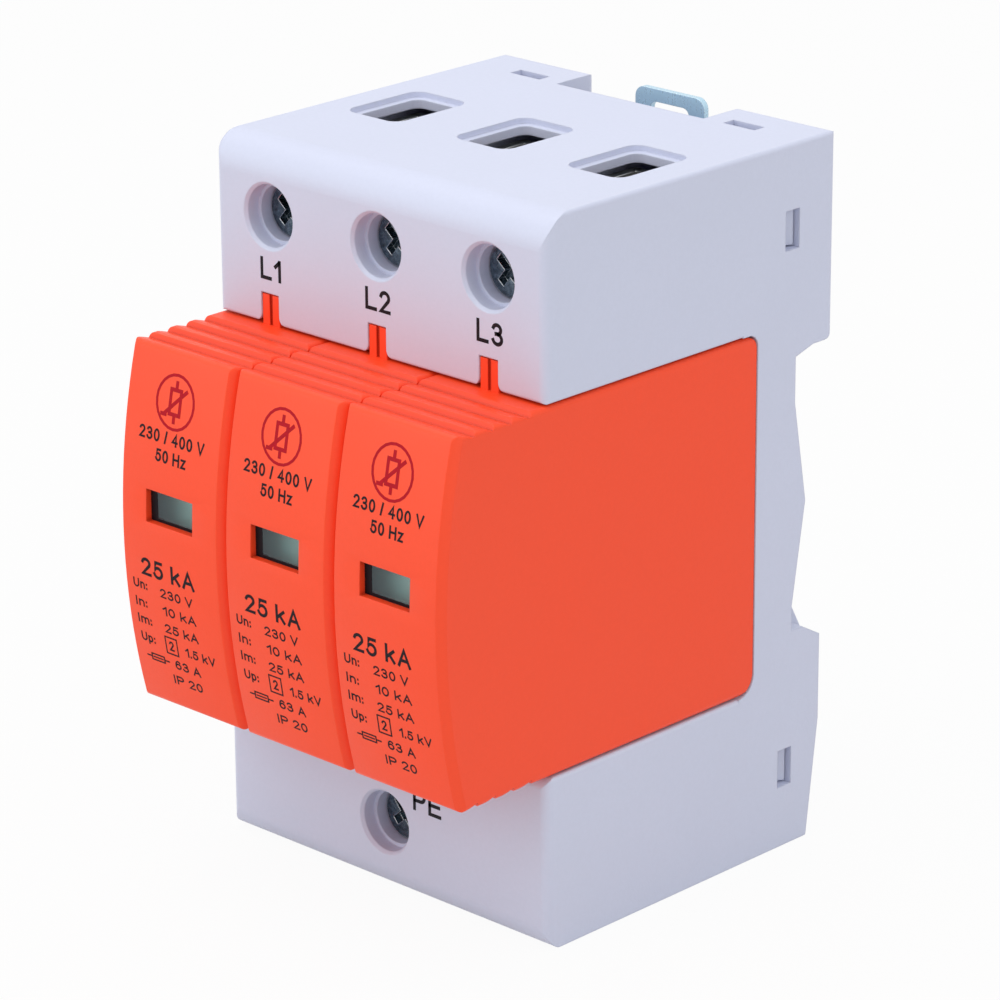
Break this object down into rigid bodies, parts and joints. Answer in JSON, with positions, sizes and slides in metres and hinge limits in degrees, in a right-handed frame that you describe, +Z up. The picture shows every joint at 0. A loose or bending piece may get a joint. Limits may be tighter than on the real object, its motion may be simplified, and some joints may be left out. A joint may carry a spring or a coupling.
{
  "type": "din rail surge arrester",
  "caption": "Rail-mounted surge arrester with a C-shaped screw-terminal base and ribbed plug-in varistor modules that show their state in a small window.",
  "frame": {"origin": "middle of the plane in which the front of the 35 mm rail lies", "axes": "+X across the poles, -Y towards the front, +Z up"},
  "size_m": [0.054, 0.0678, 0.0905],
  "materials": {
    "base_plastic": "fine moulded texture",
    "cover_plastic": "fine moulded texture",
    "module_plastic": "fine moulded texture",
    "pane": "clear",
    "flag": "smooth",
    "clip_steel": "zinc plated",
    "cage_steel": "zinc plated",
    "spring_steel": "drawn wire",
    "screw_steel": "dark plated",
    "copper": "rolled",
    "tinned_copper": "tinned",
    "varistor": "epoxy coated"
  },
  "bodies": {
    "base": {"housing": "base_plastic", "rear_cover": "cover_plastic", "clip_spring": "spring_steel", "earth_bar": "copper", "line_bar_1": "copper", "line_bar_2": "copper", "line_bar_3": "copper"},
    "clip": {"din_clip": "clip_steel"},
    "earth_screw": {"earth_screw": "screw_steel"},
    "earth_cage": {"earth_cage": "cage_steel"},
    "line_screw_1": {"line_screw_1": "screw_steel"},
    "line_cage_1": {"line_cage_1": "cage_steel"},
    "module_1": {"module_case_1": "module_plastic", "module_back_1": "module_plastic", "module_window_1": "pane", "varistor_1": "varistor", "line_blade_1": "tinned_copper", "earth_blade_1": "tinned_copper", "trip_arm_1": "copper"},
    "flag_1": {"status_flag_1": "flag"},
    "line_screw_2": {"line_screw_2": "screw_steel"},
    "line_cage_2": {"line_cage_2": "cage_steel"},
    "module_2": {"module_case_2": "module_plastic", "module_back_2": "module_plastic", "module_window_2": "pane", "varistor_2": "varistor", "line_blade_2": "tinned_copper", "earth_blade_2": "tinned_copper", "trip_arm_2": "copper"},
    "flag_2": {"status_flag_2": "flag"},
    "line_screw_3": {"line_screw_3": "screw_steel"},
    "line_cage_3": {"line_cage_3": "cage_steel"},
    "module_3": {"module_case_3": "module_plastic", "module_back_3": "module_plastic", "module_window_3": "pane", "varistor_3": "varistor", "line_blade_3": "tinned_copper", "earth_blade_3": "tinned_copper", "trip_arm_3": "copper"},
    "flag_3": {"status_flag_3": "flag"}
  },
  "joints": [
    {"name": "clip_slide", "type": "slide", "parent": "base", "child": "clip", "axis": [0, 0, 1], "range_m": [0, 0.004], "stiffness_N_per_m": 1500, "springref_m": -0.002, "deforming": ["clip_spring"]},
    {"name": "line_1_screw_turn", "type": "hinge", "parent": "base", "child": "line_screw_1", "pos_m": [-0.018, 0, 0.0354], "axis": [0, 1, 0], "range_deg": [0, 3961]},
    {"name": "line_1_cage_lift", "type": "slide", "parent": "base", "child": "line_cage_1", "axis": [0, -1, 0], "range_m": [0, 0.0088]},
    {"name": "module_1_pull", "type": "slide", "parent": "base", "child": "module_1", "axis": [0, -1, 0], "range_m": [0, 0.045]},
    {"name": "flag_1_slide", "type": "slide", "parent": "module_1", "child": "flag_1", "axis": [0, 0, 1], "range_m": [0, 0.0044]},
    {"name": "line_2_screw_turn", "type": "hinge", "parent": "base", "child": "line_screw_2", "pos_m": [0, 0, 0.0354], "axis": [0, 1, 0], "range_deg": [0, 3961]},
    {"name": "line_2_cage_lift", "type": "slide", "parent": "base", "child": "line_cage_2", "axis": [0, -1, 0], "range_m": [0, 0.0088]},
    {"name": "module_2_pull", "type": "slide", "parent": "base", "child": "module_2", "axis": [0, -1, 0], "range_m": [0, 0.045]},
    {"name": "flag_2_slide", "type": "slide", "parent": "module_2", "child": "flag_2", "axis": [0, 0, 1], "range_m": [0, 0.0044]},
    {"name": "line_3_screw_turn", "type": "hinge", "parent": "base", "child": "line_screw_3", "pos_m": [0.018, 0, 0.0354], "axis": [0, 1, 0], "range_deg": [0, 3961]},
    {"name": "line_3_cage_lift", "type": "slide", "parent": "base", "child": "line_cage_3", "axis": [0, -1, 0], "range_m": [0, 0.0088]},
    {"name": "module_3_pull", "type": "slide", "parent": "base", "child": "module_3", "axis": [0, -1, 0], "range_m": [0, 0.045]},
    {"name": "flag_3_slide", "type": "slide", "parent": "module_3", "child": "flag_3", "axis": [0, 0, 1], "range_m": [0, 0.0044]},
    {"name": "earth_screw_turn", "type": "hinge", "parent": "base", "child": "earth_screw", "pos_m": [0, 0, -0.037], "axis": [0, 1, 0], "range_deg": [0, 3961]},
    {"name": "earth_cage_lift", "type": "slide", "parent": "base", "child": "earth_cage", "axis": [0, -1, 0], "range_m": [0, 0.0088]}
  ],
  "couplings": [
    {"joint": "line_1_screw_turn", "follows": "line_1_cage_lift", "rad_per_m": 7854},
    {"joint": "line_2_screw_turn", "follows": "line_2_cage_lift", "rad_per_m": 7854},
    {"joint": "line_3_screw_turn", "follows": "line_3_cage_lift", "rad_per_m": 7854},
    {"joint": "earth_screw_turn", "follows": "earth_cage_lift", "rad_per_m": 7854}
  ]
}
